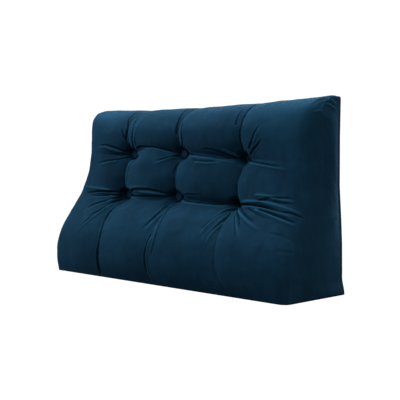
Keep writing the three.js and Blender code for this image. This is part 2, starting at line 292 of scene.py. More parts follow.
corner_radius = crown(np.full_like(lengths, HALF), lengths)[5]
flat = np.linspace(0, 1, FLAT_STEPS + 1)[1:, None] * (HALF - corner_radius - END_CROWN) + END_CROWN
turn = np.linspace(0, 1, CORNER_STEPS + 1)[1:]
turned = HALF - corner_radius + corner_radius * np.sin(turn * math.pi / 2)[:, None]
inner = np.repeat(bays[:, None], len(lengths), 1)
x = np.concatenate([-turned[::-1], -flat[::-1], inner, flat, turned])
turns = np.concatenate([turn[::-1], np.zeros(len(x) - 2 * CORNER_STEPS), turn])[:, None]
length = np.repeat(lengths[None, :], len(x), 0)

sink = tuft_sink(x, length)
x = x + stray(x, length)
y, z, in_y, in_z, pull, corner = crown(x, length)
fall_back = corner * (1 - np.cos(turns * math.pi / 2))
y = y + sink * np.cos(pull) + fall_back * in_y
z = z - sink * np.sin(pull) + fall_back * in_z

# The cover is pressed flat SEAT_GAP behind each button, and rises out of the pit around it. Right of the
# left and middle buttons the pit opens wider: STEEP and OPEN are its slopes, and it meets the cover
# softly.
SEAT_RADIUS, SEAT_BLEND, SEAT_GAP = 14, 9, 0.3
STEEP, OPEN = 3.2, 0.85
PIT_MARGIN, PIT_SOFTNESS = 4, 8
seats = []
for name in BUTTON_NODES:
    low, high = (np.array(corner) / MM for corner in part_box(name))
    seats.append(((low[0] + high[0]) / 2, high[1] + SEAT_GAP, (low[2] + high[2]) / 2))
for seat_x, seat_y, seat_z in seats:
    away = np.hypot(x - seat_x, z - seat_z)
    if seat_x < HALF / 4:
        rightwards = np.maximum(0, (x - seat_x) / np.maximum(away, 1)) ** 2
        slope = STEEP + (OPEN - STEEP) * rightwards
        pit = seat_y - slope * np.maximum(0, away - SEAT_RADIUS)
        deeper = np.maximum(0, pit - y + PIT_MARGIN)
        y = y + deeper**2 / (deeper + PIT_SOFTNESS)
    pressed = 1 - ease((away - SEAT_RADIUS) / SEAT_BLEND)
    y = y + (seat_y - y) * pressed
front = np.stack([draw_in(x, y, z), y, z], -1)

# The end panels run from the turned edges of the front to the seam around the back, and are a little
# full where they are deep enough. The seam lies BORDER in front of the back.
BORDER = 12
END_BELLY, FULL_DEPTH = 13, 120
panel_across = 1 - graded(1, END_STEPS, first=0.35)[::-1]
panel_up = lengths / PANEL


def end_panel(edge, side):
    """The grid from an edge of the front to the back seam. side is 1 on the right and -1 on the left."""
    seam = edge.copy()
    seam[:, 0] = side * HALF
    seam[:, 1] = BACK - BORDER
    seam[:, 2] = panel_up * edge[-1, 2]
    seam[:, 0] = draw_in(*seam.T)
    seam[-1] = edge[-1]
    fullness = np.sqrt(np.abs(np.sin(math.pi * panel_up)))
    belly = END_BELLY * fullness * np.minimum(1, (seam[:, 1] - edge[:, 1]) / FULL_DEPTH)
    panel = edge[None] + panel_across[:, None, None] * (seam - edge)[None]
    panel[..., 0] += side * belly * (4 * panel_across * (1 - panel_across))[:, None]
    return panel[1:]


right = end_panel(front[-1], 1)
left = end_panel(front[0], -1)[::-1]
skin = np.concatenate([left, front, right])

# Where each point lies on the flat panels: across, with the end panels unrolled, and up
unrolled = x.copy()
at_corner = turns[:, 0] > 0
unrolled[at_corner] = (np.sign(x) * (HALF - corner + corner * turns * math.pi / 2))[at_corner]
right_steps = np.linalg.norm(np.diff(np.r_[front[-1:], right], axis=0), axis=2)
left_steps = np.linalg.norm(np.diff(np.r_[front[:1], left[::-1]], axis=0), axis=2)
right_run = unrolled[-1] + np.cumsum(right_steps, 0)
left_run = unrolled[0] - np.cumsum(left_steps, 0)
place_x = np.concatenate([left_run[::-1], unrolled, right_run])
place_s = np.repeat(lengths[None, :], len(skin), 0)

# The least length that anything is divided by
TINY = 1e-9


def outward(grid):
    """The outward normals of a grid of points."""
    normal = np.cross(np.gradient(grid, axis=0), np.gradient(grid, axis=1))
    return normal / np.maximum(np.linalg.norm(normal, axis=2, keepdims=True), TINY)


# Folds gathered by the tufts, each through points across and up from its tuft, along the cloth. width is
# the half width, and depth the greatest depth before FOLD_STRENGTH: below nought it is a ridge.
FOLDS = [
    # Over the top from the left-hand tufts
    dict(tuft="upper_left", depth=7, width=2.6, through=[(-6, 50), (-5, 94), (-16, 128), (-24, 188)]),
    dict(tuft="upper_left", depth=4.5, width=2.4, through=[(24, 128), (14, 158), (3, 196)]),
    dict(tuft="upper_left", depth=8, width=2.6, through=[(24, 14), (35, 51), (34, 83), (28, 132)]),
    dict(tuft="upper_left", depth=-2.4, width=3.4, through=[(42, 30), (54, 83), (57, 101), (60, 150)]),
    dict(tuft="upper_left", depth=3.5, width=2.4, through=[(-4, 40), (-15, 66), (-24, 88)]),
    dict(tuft="upper_left", depth=-2.4, width=2.8, through=[(2, 40), (-4, 65), (-10, 98)]),
    # Over the top from the middle and right-hand tufts
    dict(tuft="upper_middle", depth=7, width=2.5, through=[(-5, 60), (-8, 98), (-14, 130), (-30, 188)]),
    dict(
        tuft="upper_middle", depth=8, width=2.6,
        through=[(14, 16), (24, 34), (24, 62), (14, 95), (-9, 190)],
    ),
    dict(tuft="upper_middle", depth=-2, width=3, through=[(26, 88), (14, 122), (4, 160)]),
    dict(tuft="upper_right", depth=5.5, width=2.4, through=[(2, 14), (-1, 56), (2, 90), (-2, 128)]),
    dict(tuft="upper_right", depth=3.5, width=2.2, through=[(-14, 92), (-19, 150)]),
    dict(tuft="upper_right", depth=4, width=2.4, through=[(2, 120), (-1, 150), (-2, 186)]),
    dict(tuft="upper_right", depth=4.5, width=2.4, through=[(34, 26), (48, 44), (58, 64), (70, 84)]),
    dict(tuft="upper_right", depth=-2, width=2.6, through=[(56, 42), (63, 58), (72, 76)]),
    dict(tuft="upper_right", depth=4.5, width=2.4, through=[(30, 10), (47, 21), (69, 36), (82, 50)]),
    # Left of the left-hand tufts
    dict(tuft="upper_left", depth=5, width=2.4, through=[(-15, 10), (-48, 23), (-90, 31), (-130, 30)]),
    dict(tuft="upper_left", depth=-2.6, width=3, through=[(-30, 9), (-60, 17), (-95, 24), (-130, 23)]),
    dict(tuft="upper_left", depth=4.5, width=2.4, through=[(-15, -6), (-39, -14), (-80, -18), (-130, -26)]),
    dict(tuft="upper_left", depth=-2.6, width=3, through=[(-38, -20), (-71, -25), (-114, -34)]),
    dict(tuft="lower_left", depth=-3, width=3.2, through=[(-40, 15), (-102, 19), (-150, 21), (-198, 24)]),
    dict(tuft="lower_left", depth=5.5, width=2.6, through=[(-15, 8), (-70, 10), (-115, 7), (-152, 2)]),
    dict(tuft="lower_left", depth=-3, width=2.6, through=[(-25, 5), (-55, 3), (-90, 3), (-130, 1)]),
    dict(tuft="lower_left", depth=4.5, width=2.4, through=[(-15, -1), (-64, -5), (-118, -4)]),
    dict(tuft="lower_left", depth=-2.6, width=2.6, through=[(-30, -6), (-70, -11), (-114, -10)]),
    dict(tuft="lower_left", depth=5.5, width=2.6, through=[(-14, -6), (-40, -18), (-78, -32), (-102, -46)]),
    dict(tuft="lower_left", depth=-2.6, width=2.8, through=[(-26, -18), (-52, -33), (-94, -56)]),
    dict(tuft="lower_left", depth=6.5, width=2.8, through=[(-12, -12), (-24, -30), (-38, -52), (-70, -76)]),
    dict(tuft="lower_left", depth=-3, width=3.2, through=[(-14, -30), (-32, -61), (-55, -88), (-88, -120)]),
    dict(tuft="lower_left", depth=3, width=2.6, through=[(-48, -70), (-68, -89), (-86, -110)]),
    # Between the upper tufts
    dict(
        tuft="upper_left", depth=5.5, width=2.4,
        through=[(40, 18), (65, 26), (124, 25), (160, 19), (194, 10)],
    ),
    dict(tuft="upper_left", depth=-2.6, width=2.8, through=[(96, 15), (127, 18), (155, 15), (198, 4)]),
    dict(tuft="upper_left", depth=4, width=2.4, through=[(15, 5), (59, 10), (94, 14), (112, 14)]),
    dict(tuft="upper_left", depth=-2.6, width=2.8, through=[(30, 0), (83, 6), (114, 9)]),
    dict(tuft="upper_middle", depth=3, width=2.4, through=[(-15, -2), (-36, -11), (-54, -17)]),
    dict(tuft="upper_middle", depth=-3, width=3, through=[(-18, -8), (-30, -15), (-44, -21), (-64, -27)]),
    dict(tuft="upper_middle", depth=6, width=2.5, through=[(20, 3), (70, 3), (134, 3), (165, 1), (208, 3)]),
    dict(tuft="upper_middle", depth=-3, width=3, through=[(50, -4), (103, -4), (155, -6), (208, -9)]),
    dict(tuft="upper_middle", depth=3, width=2.2, through=[(80, -10), (122, -11), (168, -7)]),
    dict(tuft="upper_middle", depth=-2.6, width=2.6, through=[(96, -17), (140, -16), (176, -11)]),
    dict(tuft="upper_right", depth=3.5, width=2.4, through=[(-24, 3), (-48, 14), (-82, 23), (-114, 22)]),
    dict(tuft="upper_right", depth=-2.4, width=2.6, through=[(-18, 8), (-34, 18), (-54, 27)]),
    # Down the upright valleys between the rows
    dict(tuft="upper_left", depth=-3, width=3.2, through=[(20, -16), (38, -30), (31, -45), (21, -62)]),
    dict(tuft="upper_left", depth=3.5, width=2.6, through=[(48, -36), (42, -60), (35, -84), (44, -102)]),
    dict(tuft="upper_middle", depth=3, width=2.2, through=[(-4, -28), (-6, -58)]),
    dict(tuft="upper_middle", depth=2.5, width=2.2, through=[(24, -22), (4, -38)]),
    dict(tuft="upper_middle", depth=4, width=2.4, through=[(19, -46), (24, -75), (28, -102)]),
    # Right of the right-hand tufts
    dict(tuft="upper_right", depth=5, width=2.5, through=[(16, -3), (64, -8), (100, -13), (142, -20)]),
    dict(tuft="upper_right", depth=-3, width=3, through=[(36, -11), (95, -18), (164, -28)]),
    dict(tuft="lower_right", depth=3, width=2.4, through=[(118, 24), (159, 25), (194, 25)]),
    dict(tuft="lower_right", depth=-3, width=3, through=[(86, 31), (121, 28), (168, 19), (198, 18)]),
    dict(tuft="lower_right", depth=3.5, width=2.4, through=[(94, 17), (129, 19), (173, 12), (198, 12)]),
    dict(
        tuft="lower_right", depth=-3.6, width=3,
        through=[(36, 12), (100, 13), (144, 7), (196, -3), (224, -4)],
    ),
    dict(tuft="lower_right", depth=6.5, width=2.6, through=[(15, 2), (71, 4), (129, -1), (196, -15)]),
    dict(tuft="lower_right", depth=3, width=2.2, through=[(182, -10), (230, -12)]),
    dict(
        tuft="lower_right", depth=-3.6, width=3,
        through=[(36, -6), (79, -4), (137, -10), (181, -18), (210, -21)],
    ),
    dict(tuft="lower_right", depth=4.5, width=2.5, through=[(106, -8), (147, -16), (195, -29), (218, -31)]),
    dict(tuft="lower_right", depth=-3, width=3, through=[(96, -9), (140, -21), (190, -37), (220, -40)]),
    dict(tuft="lower_right", depth=3, width=2.4, through=[(66, -5), (110, -20), (144, -34)]),
    dict(tuft="lower_right", depth=4.5, width=2.6, through=[(15, -3), (47, -13), (93, -34), (116, -47)]),
    dict(tuft="lower_right", depth=-3, width=3.2, through=[(36, -16), (71, -33), (113, -55), (140, -68)]),
    dict(tuft="lower_right", depth=0.8, width=3.5, through=[(168, -74), (203, -76), (230, -80)]),
    dict(tuft="lower_right", depth=0.7, width=3.5, through=[(200, -118), (240, -110)]),
    # Between the lower tufts
    dict(
        tuft="lower_left", depth=6.5, width=2.6,
        through=[(14, 7), (84, 20), (145, 22), (180, 17), (212, 7)],
    ),
    dict(tuft="lower_left", depth=-1.5, width=3.4, through=[(56, 24), (104, 30), (150, 30)]),
    dict(tuft="lower_left", depth=-2.8, width=2.8, through=[(116, 15), (174, 11), (210, 4)]),
    dict(tuft="lower_left", depth=6, width=2.5, through=[(14, -1), (66, 0), (116, 1), (175, 4), (210, 3)]),
    dict(tuft="lower_left", depth=-3, width=2.8, through=[(20, -8), (100, -7), (175, -5), (207, -5)]),
    dict(tuft="lower_left", depth=2.5, width=2.2, through=[(140, -12), (180, -11), (210, -9)]),
    dict(tuft="lower_middle", depth=6, width=2.5, through=[(15, -2), (84, -4), (153, -2), (210, -2)]),
    dict(tuft="lower_middle", depth=-3, width=2.8, through=[(48, -10), (87, -11), (158, -9), (206, -9)]),
    dict(tuft="lower_middle", depth=3, width=2.4, through=[(16, 2), (60, 6), (114, 11)]),
    dict(tuft="lower_middle", depth=3, width=2.4, through=[(24, 7), (82, 16), (134, 21)]),
    # Below the tufts
    dict(
        tuft="lower_left", depth=11, width=3.4,
        through=[(4, -15), (5, -45), (1, -66), (14, -112), (15, -151)],
    ),
    dict(tuft="lower_left", depth=9, width=3.8, through=[(14, -98), (17, -151), (6, -195), (-7, -268)]),
    dict(tuft="lower_left", depth=-2.6, width=3, through=[(20, -44), (24, -72), (32, -96)]),
    dict(tuft="lower_middle", depth=-2.6, width=2.8, through=[(-9, -34), (-14, -56), (-21, -78)]),
    dict(tuft="lower_middle", depth=3.5, width=2.6, through=[(-8, -26), (-12, -66), (-30, -100)]),
    dict(tuft="lower_middle", depth=-2.6, width=2.8, through=[(5, -36), (-3, -72), (-15, -110)]),
    dict(
        tuft="lower_middle", depth=4.5, width=3,
        through=[(10, -15), (22, -50), (33, -95), (34, -130), (26, -172)],
    ),
    dict(tuft="lower_middle", depth=4, width=3, through=[(12, -100), (4, -142), (-5, -178), (-9, -222)]),
    dict(tuft="lower_middle", depth=-2, width=3.2, through=[(18, -120), (6, -166), (-3, -236)]),
    dict(tuft="lower_right", depth=4.5, width=2.6, through=[(14, -10), (52, -32), (67, -48), (82, -67)]),
    dict(tuft="lower_right", depth=-2.6, width=2.8, through=[(44, -34), (76, -70), (98, -100)]),
    dict(tuft="lower_right", depth=3, width=2.6, through=[(36, -32), (56, -51), (82, -97)]),
    dict(tuft="lower_right", depth=-2.4, width=3, through=[(-13, -10), (-22, -34), (-31, -75), (-38, -98)]),
    dict(tuft="lower_right", depth=3, width=2.6, through=[(-8, -14), (-18, -26), (-29, -54), (-39, -78)]),
    dict(tuft="lower_right", depth=-2.4, width=2.8, through=[(-2, -34), (-7, -70), (-20, -110)]),
    dict(tuft="lower_right", depth=4, width=2.4, through=[(2, -15), (1, -50), (-6, -72), (-17, -102)]),
    dict(tuft="lower_right", depth=-2.4, width=2.8, through=[(8, -54), (-3, -86), (-9, -118)]),
    dict(tuft="lower_right", depth=0.6, width=4, through=[(17, -100), (22, -166), (31, -210), (55, -256)]),
    # Gathers at the seam over the upper corners
    dict(
        tuft="upper_right", depth=-1.6, width=2.6,
        through=[(226, 198), (216, 178), (208, 160), (202, 140)],
    ),
    dict(tuft="upper_right", depth=-1.5, width=2.4, through=[(228, 194), (228, 169), (234, 126)]),
    dict(
        tuft="upper_right", depth=-1.2, width=2.4,
        through=[(226, 190), (223, 172), (218, 151), (214, 126)],
    ),
    dict(tuft="upper_right", depth=-1.2, width=2.4, through=[(230, 204), (242, 208), (252, 211)]),
    dict(
        tuft="upper_right", depth=-1.5, width=2.4,
        through=[(230, 172), (240, 183), (254, 190), (268, 194)],
    ),
    dict(tuft="upper_right", depth=-1.2, width=2.4, through=[(215, 116), (226, 127), (240, 142)]),
    dict(tuft="upper_left", depth=-1.5, width=2.6, through=[(-226, 196), (-218, 172), (-206, 140)]),
    dict(tuft="upper_left", depth=-1.5, width=2.6, through=[(-228, 190), (-230, 160), (-236, 124)]),
    dict(tuft="upper_left", depth=-1.4, width=2.4, through=[(-232, 174), (-246, 186), (-266, 194)]),
]
TUFTS = {
    f"{row}_{column}": (COLUMNS[column], ROWS[row]["length"]) for row in ROWS for column in COLUMNS
}


def on_cover(across, up):
    """Points of the cover at places on its flat panels."""
    j = np.interp(up, lengths, np.arange(len(lengths)))
    rows = np.round(j).astype(int)
    columns = np.arange(len(skin))
    i = np.array([np.interp(a, place_x[:, row], columns) for a, row in zip(across, rows)])
    i0 = np.minimum(i.astype(int), len(skin) - 2)
    j0 = np.minimum(j.astype(int), len(lengths) - 2)
    fi, fj = (i - i0)[:, None], (j - j0)[:, None]
    low = skin[i0, j0] * (1 - fi) + skin[i0 + 1, j0] * fi
    high = skin[i0, j0 + 1] * (1 - fi) + skin[i0 + 1, j0 + 1] * fi
    return low * (1 - fj) + high * fj


def nearest_on_line(points, line):
    """The distance from each point to a line of points, and how far along the line that is."""
    run = np.diff(line, axis=0)
    reach = points[:, None] - line[None, :-1]
    share = np.clip((reach * run).sum(2) / np.maximum((run**2).sum(1), TINY), 0, 1)
    distance = np.linalg.norm(reach - share[..., None] * run, axis=2)
    nearest = distance.argmin(1)
    each = np.arange(len(points))
    return distance[each, nearest], (nearest + share[each, nearest]) / len(run)


# A trough has a lip beside it: LIP is its share of the depth, up to LIP_HEIGHT, and it stands LIP_AT half
# widths from the middle. A fold starts at START_SHARE of its depth, is full after about START_LENGTH of
# its length, and fades towards its far end. FOLD_REACH is how many half widths it is felt over.
FOLD_STRENGTH = 1.7
LIP, LIP_HEIGHT = 0.3, 0.9
LIP_AT, LIP_SHARPNESS = 1.9, 1.5
START_SHARE, START_LENGTH = 0.1, 0.12
FADE_POWER, FADE_ROUNDNESS = 2.4, 0.8
SAMPLES_PER_POINT = 12
FOLD_REACH = 5
relief = np.zeros(skin.shape[:2])
for fold in FOLDS:
    points = np.array(fold["through"], float) + TUFTS[fold["tuft"]]
    t = np.linspace(0, len(points) - 1, SAMPLES_PER_POINT * len(points))
    route = np.stack([smooth_curve(points[:, k], t) for k in (0, 1)], -1)
    route[:, 1] = np.clip(route[:, 1], 0, PANEL)
    margin = FOLD_REACH * fold["width"]
    near = (place_x > route[:, 0].min() - margin) & (place_x < route[:, 0].max() + margin)
    near &= (place_s > route[:, 1].min() - margin) & (place_s < route[:, 1].max() + margin)
    distance, along = nearest_on_line(skin[near], on_cover(*route.T))
    q = distance / fold["width"]
    lip = min(LIP, LIP_HEIGHT / fold["depth"]) if fold["depth"] > 0 else 0
    trough = np.exp(-(q**2)) - lip * np.exp(-LIP_SHARPNESS * (q - LIP_AT) ** 2)
    start = np.minimum(1, along / START_LENGTH + START_SHARE)
    taper = start * np.maximum(0, 1 - along**FADE_POWER) ** FADE_ROUNDNESS
    relief[near] -= FOLD_STRENGTH * fold["depth"] * trough * taper

# How far the folds alone raise the cover, for the velvet's painted highlight on ridges and painted shade in
# troughs
raised = relief.copy()

# Patches of painted light and painted shade at a place across and up the cover: above nought the
# colour there is painted paler, as painted light, and below nought darker, as painted shade
PAINTED_LIGHT_AND_SHADE_PATCHES = [
    dict(across=345, up=478, half_width=85, half_height=55, share=0.34),
    dict(across=385, up=540, half_width=95, half_height=40, share=0.26),
    dict(across=-368, up=534, half_width=75, half_height=32, share=0.46),
    dict(across=-112, up=540, half_width=60, half_height=28, share=-0.45),
    dict(across=-275, up=322, half_width=60, half_height=45, share=-0.4),
    dict(across=500, up=320, half_width=60, half_height=70, share=-0.34),
    dict(across=190, up=232, half_width=60, half_height=24, share=0.2),
    dict(across=80, up=130, half_width=480, half_height=95, share=0.07),
]
painted_light_and_shade = np.zeros(skin.shape[:2])
for patch in PAINTED_LIGHT_AND_SHADE_PATCHES:
    off_across = (place_x - patch["across"]) / patch["half_width"]
    off_up = (place_s - patch["up"]) / patch["half_height"]
    painted_light_and_shade += patch["share"] * np.exp(-(off_across**2) - off_up**2)

# Soft unevenness of the filling under the cloth: lumps of three sizes and how far they swell
LUMPS = [dict(size=95, swell=1.6), dict(size=32, swell=0.8), dict(size=13, swell=0.32)]
for i in range(len(skin)):
    for j in range(len(lengths)):
        spot = Vector(skin[i, j])
        relief[i, j] += sum(lump["swell"] * noise.noise(spot / lump["size"]) for lump in LUMPS)

# Folds and lumps come in over these distances from the seams, the foot and the buttons, which hold the
# cloth. They stand square to a smoothed form, so that steep places don't tear.
FROM_BASE_SEAM, FROM_TOP_SEAM, FROM_FOOT, FROM_BACK_SEAM = 25, 8, 20, 12
HELD_BY_BUTTON, FROM_BUTTON = 13, 8
SMOOTHING = 30
held = np.minimum(place_s / FROM_BASE_SEAM, (PANEL - place_s) / FROM_TOP_SEAM)
held = np.minimum(held, skin[..., 2] / FROM_FOOT)
held = np.minimum(held, (BACK - BORDER - skin[..., 1]) / FROM_BACK_SEAM)
held = ease(np.maximum(held, 0))
for seat_x, seat_y, seat_z in seats:
    away = np.hypot(skin[..., 0] - seat_x, skin[..., 2] - seat_z)
    held = held * ease((away - HELD_BY_BUTTON) / FROM_BUTTON)
smoothed = skin.copy()
for _ in range(SMOOTHING):
    for axis in (0, 1):
        before = np.roll(smoothed, 1, axis)
        after = np.roll(smoothed, -1, axis)
        inner = (slice(1, -1), slice(1, -1))
        smoothed[inner] = ((before + 2 * smoothed + after) / 4)[inner]
raised = raised * held
skin = skin + outward(smoothed) * (relief * held)[..., None]

# The border behind the seam, its rounded edge, and the slightly crowned back panel inside it. The ring
# between them and the flat base are filled when the mesh is closed.
EDGE = 3
INSET = 12
HALF_HEIGHT = 250
BACK_CROWN, BACK_CROWN_POWER = 6, 4
BACK_COLUMNS, BACK_ROWS = 91, 51
front_columns = slice(END_STEPS, len(skin) - END_STEPS)
base_front = skin[front_columns, 0]
base_back = base_front.copy()
base_back[:, 1] = BACK - BORDER
base_back[0], base_back[-1] = skin[0, 0], skin[-1, 0]
seam_loop = np.concatenate(
    [base_back, skin[-1, 1:-1], skin[front_columns, -1][::-1], skin[0, 1:-1][::-1], base_back[:1]]
)
towards_middle = seam_loop * (-1 / HALF, 0, 0) + (0, 0, 1) * (1 - seam_loop / HALF_HEIGHT)
border = [seam_loop + (0, behind, 0) for behind in (0, BORDER / 4, BORDER - EDGE)]
for angle in np.radians((30, 60, 90)):
    rounded = EDGE * (1 - math.cos(angle)) * towards_middle
    border.append(seam_loop + (0, BORDER - EDGE + EDGE * math.sin(angle), 0) + rounded)
border = np.array(border)

top_seam = skin[front_columns, -1]
u, v = np.meshgrid(np.linspace(-1, 1, BACK_COLUMNS), np.linspace(0, 1, BACK_ROWS))
panel_x = u * (HALF - INSET)
panel_z = INSET + v * (np.interp(panel_x, top_seam[:, 0], top_seam[:, 2]) - 2 * INSET)
panel_x = draw_in(panel_x, np.full_like(panel_x, BACK), panel_z)
crowned_across = 1 - np.abs(u) ** BACK_CROWN_POWER
crowned = BACK_CROWN * crowned_across * (1 - np.abs(2 * v - 1) ** BACK_CROWN_POWER)
back_panel = np.stack([panel_x, BACK + crowned, panel_z], -1)

# Points closer than the first are merged, and edges shorter than the second dissolved, in metres
MERGED_WITHIN = 2e-5
SHORTEST = 1e-6


def closed_mesh(name, patches, marks=()):
    """One closed mesh from grids of points in millimetres: shared points merged, gaps filled. marks are
    names with a value for each point of the first grid, kept for the material."""
    points, faces = [], []
    for grid in patches:
        first = len(points)
        columns, rows = grid.shape[:2]
        points.extend(map(tuple, grid.reshape(-1, 3) * MM))
        for i in range(columns - 1):
            for j in range(rows - 1):
                corner = first + i * rows + j
                faces.append((corner, corner + rows, corner + rows + 1, corner + 1))
    mesh = bpy.data.meshes.new(name)
    mesh.from_pydata(points, [], faces)
    shape = bmesh.new()
    shape.from_mesh(mesh)
    for mark, marked in dict(marks).items():
        layer = shape.verts.layers.float.new(mark)
        for vertex, value in zip(shape.verts, np.ravel(marked)):
            vertex[layer] = float(value)
    bmesh.ops.remove_doubles(shape, verts=shape.verts, dist=MERGED_WITHIN)
    bmesh.ops.dissolve_degenerate(shape, dist=SHORTEST, edges=shape.edges)
    gaps = [edge for edge in shape.edges if edge.is_boundary]
    under = [edge for edge in gaps if all(abs(v.co.z) < SHORTEST for v in edge.verts)]
    flat_on_floor = set(under)
    behind = [edge for edge in gaps if edge not in flat_on_floor]
    for loop, facing in ((under, (0, 0, -1)), (behind, (0, 1, 0))):
        if loop:
            bmesh.ops.triangle_fill(shape, edges=loop, use_beauty=True, normal=facing)
    bmesh.ops.recalc_face_normals(shape, faces=shape.faces)
    shape.to_mesh(mesh)
    shape.free()
    mesh.shade_smooth()
    return mesh


# Fold heights and the patches of painted light and painted shade, for the velvet's painted colour
cover_marks = dict(raised=raised * MM, painted_light_and_shade=painted_light_and_shade)
cover_mesh = closed_mesh("velvet_cover", [skin, border, back_panel], cover_marks)
cover = bpy.data.objects.new("velvet_cover", cover_mesh)
bpy.context.scene.collection.objects.link(cover)


def linear(hex_colour):
    """An sRGB hex colour as linear RGBA."""
    channels = [int(hex_colour[k : k + 2], 16) / 255 for k in (1, 3, 5)]
    return [c / 12.92 if c <= 0.04045 else ((c + 0.055) / 1.055) ** 2.4 for c in channels] + [1]


def node(tree, kind, settings=(), **inputs):
    """Adds a node. settings are its own properties, and inputs are values or sockets to link."""
    made = tree.nodes.new(kind)
    for name, value in dict(settings).items():
        setattr(made, name, value)
    for name, value in inputs.items():
        socket = made.inputs[name.replace("_", " ")]
        if isinstance(value, bpy.types.NodeSocket):
            tree.links.new(value, socket)
        else:
            socket.default_value = value
    return made


# The colour is painted paler on fold ridges and patches of painted light, as painted highlight, and
# darker in troughs and patches of painted shade, as painted shade. A fold shows the full colour where
# it raises the cover this far, in metres. The nap under this is cloudy with a share of upright streaks,
# and runs from deep to bright between two levels.
PAINTED_LIGHT_AT, PAINTED_LIGHT = 0.0055, "#143647"
PAINTED_SHADE_AT, PAINTED_SHADE = -0.009, "#030a10"
STREAK_SHARE = 0.4
NAP_FROM, NAP_TO = 0.5, 0.9


def cotton_velvet(name, deep, bright):
    """Cotton velvet, woven and cropped to a short pile: matt when seen square on, with a pale sheen
    where the pile is seen from the side. Painted highlight pales its fold ridges and painted shade darkens
    its troughs, and patches of painted light and painted shade lie over it."""
    material = bpy.data.materials.new(name)
    material.use_nodes = True
    tree = material.node_tree
    tree.nodes.clear()
    place = node(tree, "ShaderNodeTexCoord").outputs["Object"]
    cloudy = node(tree, "ShaderNodeTexNoise", Vector=place, Scale=11, Detail=5, Roughness=0.62)
    streak_place = node(tree, "ShaderNodeMapping", Vector=place, Scale=(1, 1, 0.35)).outputs["Vector"]
    streaks = node(tree, "ShaderNodeTexNoise", Vector=streak_place, Scale=70, Detail=2, Roughness=0.5)
    blend = node(tree, "ShaderNodeMath", dict(operation="MULTIPLY_ADD"))
    tree.links.new(streaks.outputs["Fac"], blend.inputs[0])
    blend.inputs[1].default_value = STREAK_SHARE
    tree.links.new(cloudy.outputs["Fac"], blend.inputs[2])
    nap = node(tree, "ShaderNodeMapRange", Value=blend.outputs["Value"])
    nap.inputs["From Min"].default_value = NAP_FROM
    nap.inputs["From Max"].default_value = NAP_TO
    colour = node(tree, "ShaderNodeMix", dict(data_type="RGBA"), Factor=nap.outputs["Result"])
    colour.inputs["A"].default_value = linear(deep)
    colour.inputs["B"].default_value = linear(bright)
    # Painted highlight and painted shade, from the fold heights and from the patches
    for mark, limit, shade in (
        ("raised", PAINTED_LIGHT_AT, PAINTED_LIGHT),
        ("raised", PAINTED_SHADE_AT, PAINTED_SHADE),
        ("painted_light_and_shade", 1, PAINTED_LIGHT),
        ("painted_light_and_shade", -1, PAINTED_SHADE),
    ):
        found = node(tree, "ShaderNodeAttribute", dict(attribute_name=mark)).outputs["Fac"]
        share = node(tree, "ShaderNodeMapRange", Value=found).outputs["Result"]
        share.node.inputs["From Max"].default_value = limit
        mixed = node(tree, "ShaderNodeMix", dict(data_type="RGBA"), Factor=share)
        tree.links.new(colour.outputs["Result"], mixed.inputs["A"])
        mixed.inputs["B"].default_value = linear(shade)
        colour = mixed
    pile = node(tree, "ShaderNodeTexNoise", Vector=place, Scale=900, Detail=2, Roughness=0.6)
    bump = node(tree, "ShaderNodeBump", Strength=0.25, Distance=0.0006, Height=pile.outputs["Fac"])
    shader = node(tree, "ShaderNodeBsdfPrincipled", Roughness=0.95, Normal=bump.outputs["Normal"])
    tree.links.new(colour.outputs["Result"], shader.inputs["Base Color"])
    shader.inputs["Specular IOR Level"].default_value = 0.02
    shader.inputs["Sheen Weight"].default_value = 0.11
    shader.inputs["Sheen Roughness"].default_value = 0.5
    shader.inputs["Sheen Tint"].default_value = linear("#58a8dc")
    surface = node(tree, "ShaderNodeOutputMaterial")
    tree.links.new(shader.outputs["BSDF"], surface.inputs["Surface"])
    return material


cover_mesh.materials.append(cotton_velvet("teal_cotton_velvet", deep="#071924", bright="#0c2332"))
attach(cover, "root")
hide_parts("cushion")

# The covered buttons
# Six button forms, each wrapped in a disc of the same velvet that is gathered behind it and held by
# the twine. The cloth puckers round the rim and lies smooth over the dome.

# A button in section: its radius and height, the radius of its rounded rim and how far that turns in
# degrees either way, and a ring on its flat back
BUTTON_RADIUS = 12.5
BUTTON_HEIGHT = 5.5
RIM = 2.2
RIM_TURN = 54
BACK_RING = 6
RIM_POINTS, DOME_STEPS, BUTTON_SIDES = 9, 10, 72

# The gathers: how many, how deep, by what radius they are full, the height up to which they are, and the
# height over which they then run out
GATHERS = 18
GATHER_DEPTH = 0.35
GATHERED_FROM = 8
GATHERED_UP_TO, GATHERS_FADE = 2, 3
profile_points = [(0.0, 0.0), (BACK_RING, 0.0), (BUTTON_RADIUS - 0.6 * RIM, 0.0)]
for angle in np.radians(np.linspace(-RIM_TURN, RIM_TURN, RIM_POINTS)):
    profile_points.append((BUTTON_RADIUS - RIM + RIM * math.cos(angle), RIM + RIM * math.sin(angle)))
rim_radius, rim_height = profile_points[-1]
for inwards in np.linspace(0, 1, DOME_STEPS + 1)[1:]:
    domed = 1 - (1 - inwards) ** 2
    profile_points.append((rim_radius * (1 - inwards), rim_height + (BUTTON_HEIGHT - rim_height) * domed))
radius, height = np.array(profile_points).T
angles = np.linspace(0, 2 * math.pi, BUTTON_SIDES + 1)
puckered = 1 - ease((height - GATHERED_UP_TO) / GATHERS_FADE)
gathered = ease(radius / GATHERED_FROM)
ripple = GATHER_DEPTH * np.cos(GATHERS * angles)[:, None] * (puckered * gathered)[None]
ring_radius = radius[None] + ripple - GATHER_DEPTH * gathered
button_grid = np.stack(
    [
        np.maximum(ring_radius, 0) * np.cos(angles)[:, None],
        -np.broadcast_to(height, ring_radius.shape),
        np.maximum(ring_radius, 0) * np.sin(angles)[:, None],
    ],
    -1,
)
button_form = bpy.data.objects.new("button_form", closed_mesh("button_form", [button_grid]))

